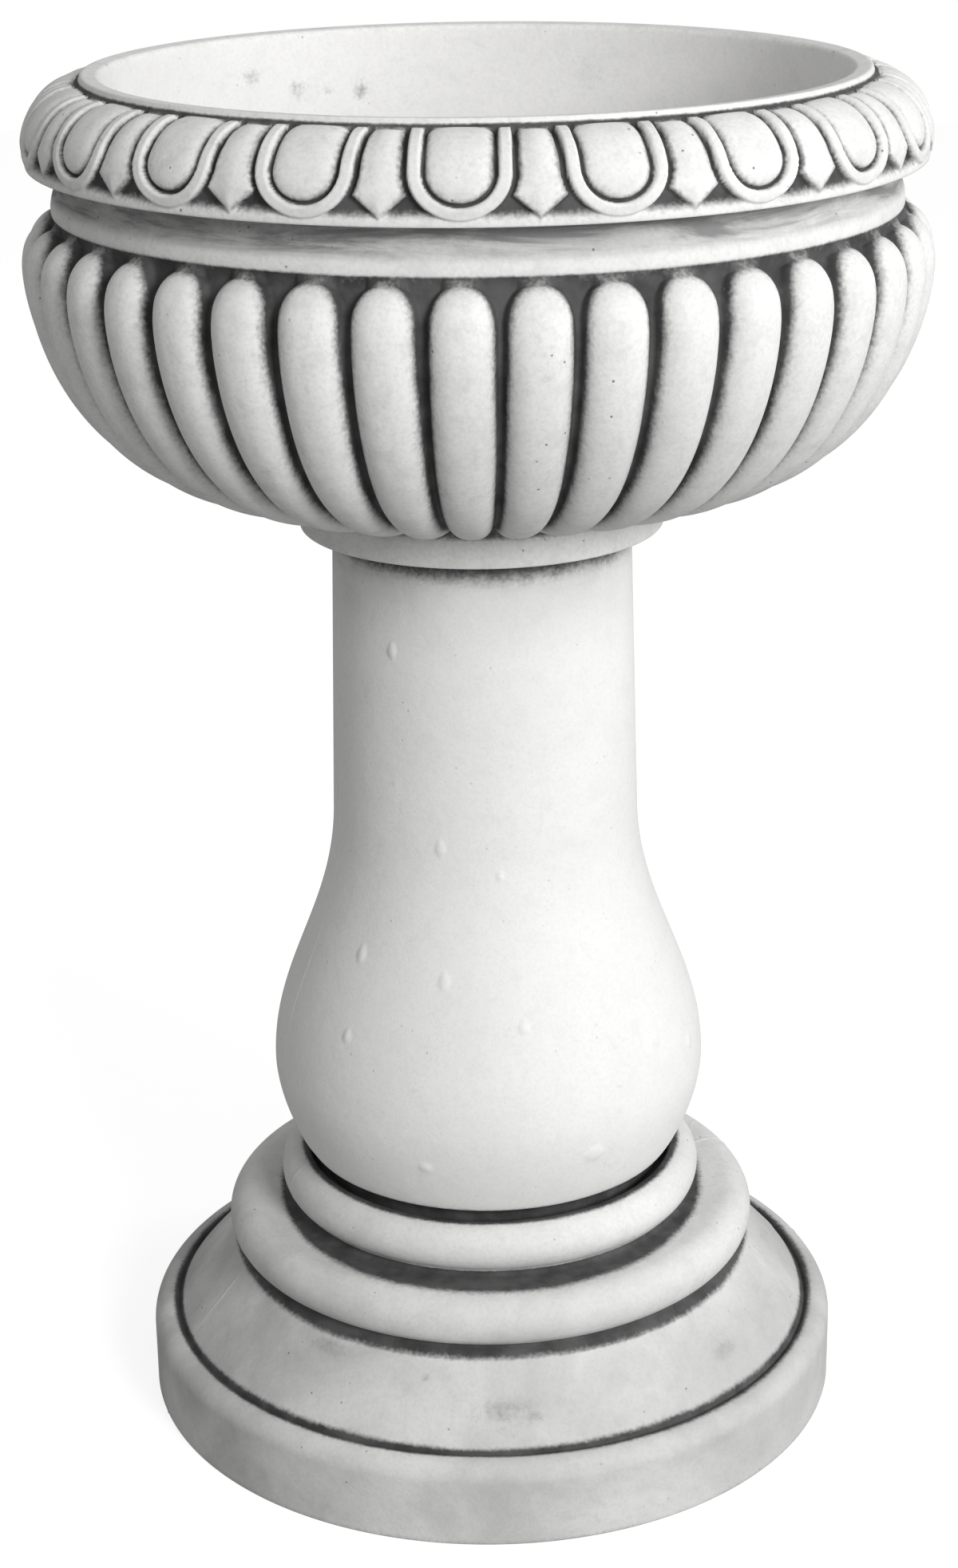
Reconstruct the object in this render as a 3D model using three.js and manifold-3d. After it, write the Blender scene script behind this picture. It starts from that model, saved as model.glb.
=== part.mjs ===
// Cast-stone urn planter: a fluted bowl that lifts off a baluster shaft on a round stepped base.
// Millimetres, +Z up, origin at the centre of the base's underside, an egg facing -Y.
import * as THREE from "three";
import { mergeVertices } from "three/addons/utils/BufferGeometryUtils.js";
import Module from "manifold-3d";

const wasm = await Module();
wasm.setup();

// ---- Driving dimensions ----

// Clearances
const TOUCH_GAP = 0.3; // between pieces that rest on or fill each other
const MORTAR_JOINT = 7; // width of the joint round the shaft's foot
const SPIGOT_CLEARANCE = 3; // loose fit of the bowl's spigot in the shaft's head

// Base
const BASE_RADIUS = 225;
const PLINTH_HEIGHT = 52;
const PLINTH_ROUND = 13; // rounded top edge of the plinth
const PLINTH_LEDGE = 3; // flat ledge between that edge and the scribed groove
const GROOVE_WIDTH = 3.5;
const GROOVE_DEPTH = 3;
const CONE_FOOT_RISE = 1; // the cone starts this far above the plinth
const CONE_RISE = 51;
const LOWER_ROLL_RADIUS = 174.5;
const UPPER_ROLL_RADIUS = 138.5;
const ROLL_THICKNESS = 32; // each of the two half-round rolls
const ROLL_UNDERCUT_ANGLE = 55; // degrees that a roll turns in under its widest ring
const SEAT_DEPTH = 17; // recess in the upper roll that takes the shaft's foot
const SEAT_BEVEL = 3;
const MORTAR_BED = 4;
const MORTAR_BORE_RADIUS = 78;
const MORTAR_FILLET = 5; // the joint is filled to this height above the bed
const MORTAR_FALL = 2; // the filling slopes down this far towards the base

// Shaft
const SHAFT_LENGTH = 434;
const SHAFT_FOOT_RADIUS = 112;
const SHAFT_FOOT_HEIGHT = 15;
const BULB_EDGE_RADIUS = 121.5;
const BULB_EDGE_RISE = 5.6; // how far the bulb's lower edge stands above the foot
const BULB_RADIUS = 140.3;
const BULB_CENTRE_HEIGHT = 79; // of the widest ring, above the foot's underside
const NECK_RADIUS = 97.2;
const BULB_UNDER_WIDTH = 0.43; // handles of the curve under the bulb, as shares of its size
const BULB_UNDER_RISE = 0.19;
const BULB_UNDER_FULLNESS = 0.36;
const BULB_OVER_FULLNESS = 0.35; // handles of the curve from the bulb to the neck
const NECK_HOLLOW = 0.42;
const NECK_FLARE = 1.7;
const NECK_START_HEIGHT = 251;
const SHAFT_HEAD_RADIUS = 92.8;
const CORE_RADIUS = 25; // drain core through shaft and base
const HEAD_SOCKET_DEPTH = 20;

// Dowels
const DOWEL_COUNT = 3;
const DOWEL_RADIUS = 5;
const DOWEL_EMBED = 50;
const DOWEL_CIRCLE_RADIUS = 58;

// Seat pad
const PAD_THICKNESS = 3;
const PAD_INNER_RADIUS = 52;
const PAD_OUTER_RADIUS = 86;

// Bowl, its rings set in from the widest one and its heights upward from the part below
const BOWL_RADIUS = 271.5; // widest ring of the belly, over the flutes
const FOOT_RING_RADIUS = 112.5;
const FOOT_RING_HEIGHT = 18.5;
const FOOT_CREASE = 2.5; // step from the foot ring to the flutes
const SPIGOT_RADIUS = 42;
const SPIGOT_LENGTH = 16;
const BELLY_DEPTH = 144; // from the widest ring down to where the flutes end
const BELLY_FLATNESS = 1.7; // power that flattens the underside
const BELLY_SQUARENESS = 4.55; // root that squares the side
const FLUTE_TOP_RISE = 33.5; // from the widest ring up to the tips of the flutes
const FLUTE_TOP_INSET = 10.5;
const NECK_INSET = 26;
const NECK_RISE = 26.5; // from the flute tips to the underside of the egg band
const NECK_BEAD = 7; // how far the bead at the foot of the neck stands out
const NECK_BEAD_RISE = 8;
const NECK_BEAD_SLOPE = 4; // the bead draws in this much over the same rise again
const BAND_INSET = 3;
const BAND_LIP_INSET = 2.5; // lower edge of the egg band, from its widest ring
const BAND_LIP_RISE = 9;
const BAND_RISE = 37;
const BAND_WIDTH = 33.5; // from the widest ring in to the crease under the rim
const RIM_SET_BACK = 2.5;
const RIM_WIDTH = 12.5;
const RIM_EDGE_HEIGHT = 5.4;
const RIM_CHAMFER = 4;
const BELLY_WALL = 47.5; // at the widest ring, flutes included
const BOWL_FLOOR_THICKNESS = 53; // foot ring's underside to the inner floor
const BOWL_FLOOR_RADIUS = 90;

// Carving
const EGG_COUNT = 20;
const FLUTES_PER_EGG = 2;
const FLUTE_DEPTH_RATIO = 0.58; // flute depth over half its pitch
const EGG_HALF_WIDTH = 18.5;
const EGG_BAND_INNER = 20; // the U-shaped fillet round each egg
const EGG_BAND_OUTER = 27.5;
const EGG_ROUND_STRETCH = 1.06; // width over height of the U's round end
const EGG_ROUND_DROP = 30; // centre of the U's round end above the band's underside
const DART_HALF_WIDTH = 12;
const CARVING_DEPTH = 5.5;

// Drain sleeve
const SLEEVE_OUTER_RADIUS = 12.5;
const SLEEVE_WALL = 2;
const SLEEVE_FLANGE_RADIUS = 20;
const SLEEVE_FLANGE_THICKNESS = 2;
const SLEEVE_DROP = 30; // how far it hangs below the spigot

// Facets
const TURNED_SIDES = 48;
const SIDES_PER_FLUTE = 4;
const SIDES_PER_EGG = 12;
const FLUTE_ROW_DROPS = [0.985, 0.975, 0.9, 0.77, 0.55, 0.29, 0]; // shares of the belly's depth
const FLUTE_TIP_ROWS = [0.4, 0.14, 0]; // shares of a flute's pitch below its tip
const CAVITY_SIDES = 48;
const PIPE_SIDES = 24;
const DOWEL_SIDES = 16;

// ---- Heights worked out from the sizes ----

const coneTop = PLINTH_HEIGHT + CONE_RISE;
const lowerRollTop = coneTop + ROLL_THICKNESS;
const baseTop = lowerRollTop + ROLL_THICKNESS;
const seatFloor = baseTop - SEAT_DEPTH;
const seatRadius = SHAFT_FOOT_RADIUS + MORTAR_JOINT;
const shaftBottom = seatFloor + MORTAR_BED;
const shaftTop = shaftBottom + SHAFT_LENGTH;
const padBottom = shaftTop + TOUCH_GAP;
const bowlBottom = padBottom + PAD_THICKNESS + TOUCH_GAP;
const footTop = bowlBottom + FOOT_RING_HEIGHT;
const fluteBottom = footTop + FOOT_CREASE;
const bellyHeight = fluteBottom + BELLY_DEPTH;
const fluteTop = bellyHeight + FLUTE_TOP_RISE;
const bandBottom = fluteTop + NECK_RISE;
const bandWidest = bandBottom + BAND_LIP_RISE;
const bandTop = bandWidest + BAND_RISE;
const rimTop = bandTop + RIM_EDGE_HEIGHT;
const bowlFloor = bowlBottom + BOWL_FLOOR_THICKNESS;
const spigotBottom = bowlBottom - SPIGOT_LENGTH;
const sleeveRecess = SLEEVE_FLANGE_THICKNESS + 2 * TOUCH_GAP;

const neckRadius = BOWL_RADIUS - NECK_INSET;
const bandRadius = BOWL_RADIUS - BAND_INSET;
const rimCreaseRadius = bandRadius - BAND_WIDTH;
const rimOuterRadius = rimCreaseRadius - RIM_SET_BACK;
const mouthRadius = rimOuterRadius - RIM_WIDTH;
const cavityRadius = BOWL_RADIUS - BELLY_WALL;

const FLUTE_COUNT = EGG_COUNT * FLUTES_PER_EGG;
const OVERCUT = 10; // how far a cutting tool runs past the face that it opens

// ---- Materials ----

function finish(color, roughness, metalness = 0) {
  return new THREE.MeshStandardMaterial({ color, roughness, metalness });
}

const castStone = finish(0xdedcd6, 0.85);
const mortar = finish(0x8f8c86, 0.95);
const steel = finish(0x8a8c8f, 0.4, 1);
const rubber = finish(0x26272a, 0.8);
const pipePlastic = finish(0x6d7276, 0.5);

// ---- Geometry helpers ----

// Points on an ellipse's arc, first and last included, angles in degrees.
function arc(centreR, centreZ, radiusR, radiusZ, from, to, steps) {
  return Array.from({ length: steps + 1 }, (_, i) => {
    const angle = THREE.MathUtils.degToRad(from + ((to - from) * i) / steps);
    return [centreR + radiusR * Math.cos(angle), centreZ + radiusZ * Math.sin(angle)];
  });
}

// Points on a cubic curve from the first control point to the last.
function cubic(controls, steps) {
  const ends = controls.map(([r, z]) => new THREE.Vector2(r, z));
  return new THREE.CubicBezierCurve(...ends).getPoints(steps).map((p) => [p.x, p.y]);
}

// Turns an outline of [radius, height] pairs, listed anticlockwise, about the Z axis.
function turned(outline, sides) {
  const points = outline.map(([r, z]) => new THREE.Vector2(r, z));
  return new THREE.LatheGeometry(points, sides).rotateX(Math.PI / 2);
}

// Turns a hollow ring, whose outline closes on itself.
function turnedRing(outline, sides) {
  return turned([...outline, outline[0]], sides);
}

// Moves each point inwards by depth(angle from -Y, height, radius), square to an outline
// that widens by slope(height) with height.
function carved(geometry, depth, slope) {
  const position = geometry.getAttribute("position");
  for (let i = 0; i < position.count; i += 1) {
    const x = position.getX(i);
    const y = position.getY(i);
    const z = position.getZ(i);
    const radius = Math.hypot(x, y);
    const move = radius > 0 ? depth(Math.atan2(x, -y), z, radius) : 0;
    const lean = move > 0 ? Math.atan(slope(z)) : 0;
    const scale = 1 - (move * Math.cos(lean)) / Math.max(radius, 1);
    position.setXYZ(i, x * scale, y * scale, z + move * Math.sin(lean));
  }
  return geometry;
}

// A closed geometry as a solid, its shared points merged and empty triangles left out.
function toSolid(source) {
  const geometry = source.clone();
  geometry.deleteAttribute("normal");
  geometry.deleteAttribute("uv");
  const merged = mergeVertices(geometry, 1e-4);
  const index = merged.getIndex().array;
  const triangles = [];
  for (let i = 0; i < index.length; i += 3) {
    const [a, b, c] = [index[i], index[i + 1], index[i + 2]];
    if (a !== b && b !== c && c !== a) triangles.push(a, b, c);
  }
  return new wasm.Manifold(
    new wasm.Mesh({
      numProp: 3,
      vertProperties: new Float32Array(merged.getAttribute("position").array),
      triVerts: new Uint32Array(triangles),
    }),
  );
}

function toGeometry(solid) {
  const mesh = solid.getMesh();
  const geometry = new THREE.BufferGeometry();
  geometry.setAttribute("position", new THREE.BufferAttribute(mesh.vertProperties, 3));
  geometry.setIndex(new THREE.BufferAttribute(mesh.triVerts, 1));
  geometry.computeVertexNormals();
  return geometry;
}

// An upright cylinder between two heights.
function rod(radius, bottom, top, sides, x = 0, y = 0) {
  return new THREE.CylinderGeometry(radius, radius, top - bottom, sides)
    .rotateX(Math.PI / 2)
    .translate(x, y, (bottom + top) / 2);
}

function part(name, solid, material) {
  const mesh = new THREE.Mesh(toGeometry(solid), material);
  mesh.name = name;
  return mesh;
}

// ---- Dowels ----

const dowelPlaces = Array.from({ length: DOWEL_COUNT }, (_, i) => {
  const angle = (2 * Math.PI * i) / DOWEL_COUNT + Math.PI / 2;
  return [DOWEL_CIRCLE_RADIUS * Math.cos(angle), DOWEL_CIRCLE_RADIUS * Math.sin(angle)];
});

const dowelHoleBottom = seatFloor - DOWEL_EMBED;
const dowelHoleTop = shaftBottom + DOWEL_EMBED;

function dowelHoles(bottom, top) {
  const radius = DOWEL_RADIUS + TOUCH_GAP;
  return dowelPlaces.map(([x, y]) => toSolid(rod(radius, bottom, top, DOWEL_SIDES, x, y)));
}

function dowel([x, y]) {
  const bottom = dowelHoleBottom + TOUCH_GAP;
  const top = dowelHoleTop - TOUCH_GAP;
  return toSolid(rod(DOWEL_RADIUS, bottom, top, DOWEL_SIDES, x, y));
}

// ---- Base: plinth, cone and two rolls in one casting ----

function roll(radius, bottom) {
  const half = ROLL_THICKNESS / 2;
  return arc(radius - half, bottom + half, half, half, -ROLL_UNDERCUT_ANGLE, 90, 5);
}

function baseSolid() {
  const shoulder = BASE_RADIUS - PLINTH_ROUND;
  const grooveOuter = shoulder - PLINTH_LEDGE;
  const coneFoot = grooveOuter - GROOVE_WIDTH;
  const lowerRoll = roll(LOWER_ROLL_RADIUS, coneTop);
  const upperRoll = roll(UPPER_ROLL_RADIUS, lowerRollTop);
  const outline = [
    [CORE_RADIUS, 0],
    [BASE_RADIUS, 0],
    ...arc(shoulder, PLINTH_HEIGHT - PLINTH_ROUND, PLINTH_ROUND, PLINTH_ROUND, 0, 90, 3),
    [grooveOuter, PLINTH_HEIGHT],
    [grooveOuter - GROOVE_WIDTH / 2, PLINTH_HEIGHT - GROOVE_DEPTH],
    [coneFoot, PLINTH_HEIGHT + CONE_FOOT_RISE],
    [lowerRoll[0][0], coneTop],
    ...lowerRoll,
    [upperRoll[0][0], lowerRollTop],
    ...upperRoll,
    [seatRadius, baseTop - SEAT_BEVEL],
    [seatRadius, seatFloor],
    [CORE_RADIUS, seatFloor],
  ];
  const holes = dowelHoles(dowelHoleBottom, seatFloor + OVERCUT);
  return holes.reduce((solid, hole) => solid.subtract(hole), toSolid(turnedRing(outline, TURNED_SIDES)));
}

// ---- Mortar: bed under the shaft's foot and the filled joint round it ----

function mortarSolid() {
  const outer = seatRadius - TOUCH_GAP;
  const inner = SHAFT_FOOT_RADIUS + TOUCH_GAP;
  const bottom = seatFloor + TOUCH_GAP;
  const bedTop = shaftBottom - TOUCH_GAP;
  const outline = [
    [MORTAR_BORE_RADIUS, bottom],
    [outer, bottom],
    [outer, bedTop + MORTAR_FILLET - MORTAR_FALL],
    [inner, bedTop + MORTAR_FILLET],
    [inner, bedTop],
    [MORTAR_BORE_RADIUS, bedTop],
  ];
  return toSolid(turnedRing(outline, TURNED_SIDES));
}

// ---- Shaft: hollow baluster with a socket in its head ----

function shaftSolid() {
  const footTopZ = shaftBottom + SHAFT_FOOT_HEIGHT;
  const edgeZ = footTopZ + BULB_EDGE_RISE;
  const bulbZ = shaftBottom + BULB_CENTRE_HEIGHT;
  const neckZ = shaftBottom + NECK_START_HEIGHT;
  const bulbRise = bulbZ - edgeZ;
  const bulbSwell = BULB_RADIUS - BULB_EDGE_RADIUS;
  const neckRise = neckZ - bulbZ;
  const underBulb = [
    [BULB_EDGE_RADIUS, edgeZ],
    [BULB_EDGE_RADIUS + bulbSwell * BULB_UNDER_WIDTH, edgeZ + bulbRise * BULB_UNDER_RISE],
    [BULB_RADIUS, bulbZ - bulbRise * BULB_UNDER_FULLNESS],
    [BULB_RADIUS, bulbZ],
  ];
  const overBulb = [
    [BULB_RADIUS, bulbZ],
    [BULB_RADIUS, bulbZ + neckRise * BULB_OVER_FULLNESS],
    [NECK_RADIUS + NECK_FLARE, neckZ - neckRise * NECK_HOLLOW],
    [NECK_RADIUS, neckZ],
  ];
  const socketFloor = shaftTop - HEAD_SOCKET_DEPTH;
  const socketRadius = SPIGOT_RADIUS + SPIGOT_CLEARANCE;
  const outline = [
    [CORE_RADIUS, shaftBottom],
    [SHAFT_FOOT_RADIUS, shaftBottom],
    [SHAFT_FOOT_RADIUS, footTopZ],
    ...cubic(underBulb, 4),
    ...cubic(overBulb, 8).slice(1),
    [SHAFT_HEAD_RADIUS, shaftTop],
    [socketRadius, shaftTop],
    [socketRadius, socketFloor],
    [CORE_RADIUS, socketFloor],
  ];
  const holes = dowelHoles(shaftBottom - OVERCUT, dowelHoleTop);
  return holes.reduce((solid, hole) => solid.subtract(hole), toSolid(turnedRing(outline, TURNED_SIDES)));
}

// ---- Bowl: fluted belly, neck and egg-and-dart band, hollowed and drained ----

// 0 at the middle of a repeat and 1 at its edge.
function acrossPitch(angle, count) {
  const pitch = (2 * Math.PI) / count;
  return Math.abs(angle / pitch - Math.round(angle / pitch)) * 2;
}

// Radius of the flutes' crests: a full belly that closes in quickly at its foot.
function bellyRadius(z) {
  if (z >= bellyHeight) {
    return BOWL_RADIUS - FLUTE_TOP_INSET * ((z - bellyHeight) / FLUTE_TOP_RISE) ** 2;
  }
  const drop = Math.min(1, (bellyHeight - z) / BELLY_DEPTH);
  return BOWL_RADIUS * (1 - drop ** BELLY_FLATNESS) ** (1 / BELLY_SQUARENESS);
}

// How fast that radius grows with height.
function bellySlope(z) {
  const step = 0.2;
  return (bellyRadius(z + step) - bellyRadius(z - step)) / (2 * step);
}

// Heights of the rings of points along the flutes, from their feet to their tips
const flutePitch = (2 * Math.PI * BOWL_RADIUS) / FLUTE_COUNT;
const fluteRows = [
  ...FLUTE_ROW_DROPS.map((drop) => bellyHeight - drop * BELLY_DEPTH),
  ...FLUTE_TIP_ROWS.map((drop) => fluteTop - drop * flutePitch),
];

// Flutes are round in section, with round ends.
function fluteDepth(angle, z, radius) {
  if (z < fluteBottom || z > fluteTop) return 0;
  const halfPitch = (radius * Math.PI) / FLUTE_COUNT;
  const across = acrossPitch(angle, FLUTE_COUNT);
  const topEnd = (z - fluteTop) / halfPitch + 1;
  const footEnd = z <= fluteRows[0] ? 1 : 0;
  const along = Math.max(0, topEnd, footEnd);
  const height = Math.sqrt(Math.max(0, 1 - across ** 2 - along ** 2));
  return halfPitch * FLUTE_DEPTH_RATIO * (1 - height);
}

function bellySolid() {
  const outline = [
    [0, bowlBottom],
    [FOOT_RING_RADIUS, bowlBottom],
    [FOOT_RING_RADIUS, footTop],
    [FOOT_RING_RADIUS - FOOT_CREASE, fluteBottom],
    ...fluteRows.map((z) => [bellyRadius(z), z]),
    [neckRadius, fluteTop + TOUCH_GAP],
    [neckRadius + NECK_BEAD, fluteTop + NECK_BEAD_RISE],
    [neckRadius + NECK_BEAD - NECK_BEAD_SLOPE, fluteTop + 2 * NECK_BEAD_RISE],
    [neckRadius, bandBottom],
    [neckRadius, bandWidest],
    [0, bandWidest],
  ];
  return toSolid(carved(turned(outline, FLUTE_COUNT * SIDES_PER_FLUTE), fluteDepth, bellySlope));
}

// 1 on the ridge's crest, falling evenly to 0 on both sides.
function ridge(place, crest, halfWidth) {
  return Math.max(0, 1 - Math.abs(place - crest) / halfWidth);
}

// Depth of the carving across an egg, its U-shaped fillet and half a dart.
function eggDepth(angle, z) {
  if (z <= bandBottom || z >= bandTop) return 0;
  const halfPitch = (Math.PI * bandRadius) / EGG_COUNT;
  const across = acrossPitch(angle, EGG_COUNT) * halfPitch;
  const below = Math.max(0, bandBottom + EGG_ROUND_DROP - z);
  const reach = Math.hypot(across, below * EGG_ROUND_STRETCH);
  const egg = Math.sqrt(Math.max(0, 1 - (reach / EGG_HALF_WIDTH) ** 2));
  const fillet = ridge(reach, (EGG_BAND_INNER + EGG_BAND_OUTER) / 2, EGG_BAND_OUTER - EGG_BAND_INNER);
  const dart = reach > EGG_BAND_OUTER ? ridge(across, halfPitch, DART_HALF_WIDTH) : 0;
  const fade = Math.min(1, (bandTop - z) / CARVING_DEPTH);
  return CARVING_DEPTH * (1 - Math.max(egg, fillet, dart)) * fade;
}

function bandSolid() {
  const inside = mouthRadius - OVERCUT;
  const outline = [
    [inside, bandBottom],
    [bandRadius - BAND_LIP_INSET, bandBottom],
    ...arc(rimCreaseRadius, bandWidest, BAND_WIDTH, BAND_RISE, 0, 90, 5),
    [rimOuterRadius, rimTop],
    [inside, rimTop],
  ];
  return toSolid(carved(turnedRing(outline, EGG_COUNT * SIDES_PER_EGG), eggDepth, () => 0));
}

function cavitySolid() {
  const dropR = cavityRadius - BOWL_FLOOR_RADIUS;
  const dropZ = bellyHeight - bowlFloor;
  const outline = [
    [0, bowlFloor],
    ...arc(BOWL_FLOOR_RADIUS, bellyHeight, dropR, dropZ, -90, 0, 6),
    [mouthRadius, rimTop - RIM_CHAMFER],
    [mouthRadius + RIM_CHAMFER + OVERCUT, rimTop + OVERCUT],
    [0, rimTop + OVERCUT],
  ];
  return toSolid(turned(outline, CAVITY_SIDES));
}

function bowlSolid() {
  const spigot = rod(SPIGOT_RADIUS, spigotBottom, footTop, TURNED_SIDES);
  const drainRadius = SLEEVE_OUTER_RADIUS + TOUCH_GAP;
  const drain = rod(drainRadius, spigotBottom - OVERCUT, bowlFloor + OVERCUT, PIPE_SIDES);
  const flangeRadius = SLEEVE_FLANGE_RADIUS + TOUCH_GAP;
  const recess = rod(flangeRadius, bowlFloor - sleeveRecess, bowlFloor + OVERCUT, PIPE_SIDES);
  return bellySolid()
    .add(bandSolid())
    .add(toSolid(spigot))
    .subtract(cavitySolid())
    .subtract(toSolid(drain))
    .subtract(toSolid(recess));
}

// ---- Seat pad and drain sleeve ----

function padSolid() {
  const outline = [
    [PAD_INNER_RADIUS, padBottom],
    [PAD_OUTER_RADIUS, padBottom],
    [PAD_OUTER_RADIUS, padBottom + PAD_THICKNESS],
    [PAD_INNER_RADIUS, padBottom + PAD_THICKNESS],
  ];
  return toSolid(turnedRing(outline, TURNED_SIDES));
}

function sleeveSolid() {
  const bore = SLEEVE_OUTER_RADIUS - SLEEVE_WALL;
  const bottom = spigotBottom - SLEEVE_DROP;
  const flangeBottom = bowlFloor - sleeveRecess + TOUCH_GAP;
  const flangeTop = flangeBottom + SLEEVE_FLANGE_THICKNESS;
  const outline = [
    [bore, bottom],
    [SLEEVE_OUTER_RADIUS, bottom],
    [SLEEVE_OUTER_RADIUS, flangeBottom],
    [SLEEVE_FLANGE_RADIUS, flangeBottom],
    [SLEEVE_FLANGE_RADIUS, flangeTop],
    [bore, flangeTop],
  ];
  return toSolid(turnedRing(outline, PIPE_SIDES));
}

// ---- Assembly ----

const pedestal = new THREE.Group();
pedestal.add(part("base", baseSolid(), castStone));
pedestal.add(part("shaft_bedding_mortar", mortarSolid(), mortar));
pedestal.add(part("shaft", shaftSolid(), castStone));
dowelPlaces.forEach((place, i) => {
  pedestal.add(part(`shaft_dowel_${i + 1}`, dowel(place), steel));
});
pedestal.add(part("bowl_seat_pad", padSolid(), rubber));

const liftOffBowl = new THREE.Group();
liftOffBowl.add(part("bowl", bowlSolid(), castStone));
liftOffBowl.add(part("drain_sleeve", sleeveSolid(), pipePlastic));

const urn = new THREE.Group();
urn.add(pedestal, liftOffBowl);

export default urn;
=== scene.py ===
"""Looks of a cast-stone urn planter: carved bowl, baluster shaft and stepped round base.

Sizes are in millimetres until a mesh is made, then metres. Angles run from -Y towards +X.
"""

import math

import bpy
import numpy as np
from mathutils import Matrix, Vector


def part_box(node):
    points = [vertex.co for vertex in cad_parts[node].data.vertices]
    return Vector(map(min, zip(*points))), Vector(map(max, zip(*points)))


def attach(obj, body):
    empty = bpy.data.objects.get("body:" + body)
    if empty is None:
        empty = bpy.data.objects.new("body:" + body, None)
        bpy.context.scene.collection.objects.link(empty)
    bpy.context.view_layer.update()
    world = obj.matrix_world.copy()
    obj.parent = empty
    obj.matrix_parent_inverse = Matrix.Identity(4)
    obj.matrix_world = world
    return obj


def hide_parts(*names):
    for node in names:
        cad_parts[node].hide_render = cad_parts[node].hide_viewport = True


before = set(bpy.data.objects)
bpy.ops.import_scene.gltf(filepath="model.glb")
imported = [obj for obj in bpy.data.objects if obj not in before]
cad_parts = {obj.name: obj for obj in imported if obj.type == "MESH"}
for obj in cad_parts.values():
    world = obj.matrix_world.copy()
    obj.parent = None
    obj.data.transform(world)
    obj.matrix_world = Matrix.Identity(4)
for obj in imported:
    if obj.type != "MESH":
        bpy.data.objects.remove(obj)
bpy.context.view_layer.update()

MM = 0.001


def height(node, corner):
    """Lowest (0) or highest (1) point of a CAD node, in millimetres."""
    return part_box(node)[corner].z / MM


# ---- Camera and studio ----

# Fitted to the rings' ellipses in the photo, in metres and radians
CAMERA_DISTANCE = 1.7896
CAMERA_HEIGHT = 1.0793
CAMERA_AROUND = math.radians(2.0)  # the nearest egg faces a little left of the camera
CAMERA_YAW = -0.0022
CAMERA_DOWN = 0.3547
CAMERA_ROLL = -0.0134
FOCAL_PIXELS = 3734.8
PHOTO_HEIGHT_PIXELS = 1965
SENSOR_MM = 36.0

# Disk lights: place, size in metres and power in watts
LIGHTS = {
    "key": ((1.9, -3.0, 2.0), 1.4, 106),
    "side": ((3.2, 0.2, 1.8), 1.2, 30),
}
LIGHTS_AIM = (0, 0, 0.5)
SKY_SEEN = 1.0
SKY_FILL = 0.46
FLOOR_HALF = 6.0
FLOOR_GREY = 0.36
FLOOR_GLOW = 0.79  # only the camera sees it


def add_camera():
    data = bpy.data.cameras.new("camera")
    data.sensor_fit = "AUTO"
    data.sensor_width = SENSOR_MM
    data.lens = FOCAL_PIXELS / PHOTO_HEIGHT_PIXELS * SENSOR_MM
    camera = bpy.data.objects.new("camera", data)
    bpy.context.scene.collection.objects.link(camera)
    forward = Vector((
        math.sin(CAMERA_YAW) * math.cos(CAMERA_DOWN),
        math.cos(CAMERA_YAW) * math.cos(CAMERA_DOWN),
        -math.sin(CAMERA_DOWN),
    ))
    level = Vector((math.cos(CAMERA_YAW), -math.sin(CAMERA_YAW), 0))
    above = level.cross(forward)
    right = math.cos(CAMERA_ROLL) * level + math.sin(CAMERA_ROLL) * above
    up = math.cos(CAMERA_ROLL) * above - math.sin(CAMERA_ROLL) * level
    turn = Matrix((right, up, -forward)).transposed().to_4x4()
    place = Matrix.Translation((0, -CAMERA_DISTANCE, CAMERA_HEIGHT))
    camera.matrix_world = Matrix.Rotation(CAMERA_AROUND, 4, "Z") @ place @ turn
    bpy.context.scene.camera = camera


def area_light(name, place, size, power):
    data = bpy.data.lights.new(name, "AREA")
    data.shape = "DISK"
    data.size = size
    data.energy = power
    light = bpy.data.objects.new(name, data)
    bpy.context.scene.collection.objects.link(light)
    light.location = place
    light.rotation_euler = (Vector(LIGHTS_AIM) - Vector(place)).to_track_quat("-Z", "Y").to_euler()


def add_studio():
    world = bpy.data.worlds.new("studio")
    bpy.context.scene.world = world
    world.use_nodes = True
    nodes = world.node_tree.nodes
    links = world.node_tree.links
    nodes.clear()
    out = nodes.new("ShaderNodeOutputWorld")
    path = nodes.new("ShaderNodeLightPath")
    mix = nodes.new("ShaderNodeMixShader")
    links.new(path.outputs["Is Camera Ray"], mix.inputs[0])
    for socket, strength in ((mix.inputs[1], SKY_FILL), (mix.inputs[2], SKY_SEEN)):
        sky = nodes.new("ShaderNodeBackground")
        sky.inputs["Color"].default_value = (1, 1, 1, 1)
        sky.inputs["Strength"].default_value = strength
        links.new(sky.outputs[0], socket)
    links.new(mix.outputs[0], out.inputs["Surface"])
    for name, (place, size, power) in LIGHTS.items():
        area_light(name, place, size, power)
    bpy.context.scene.view_settings.view_transform = "Standard"


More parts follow.
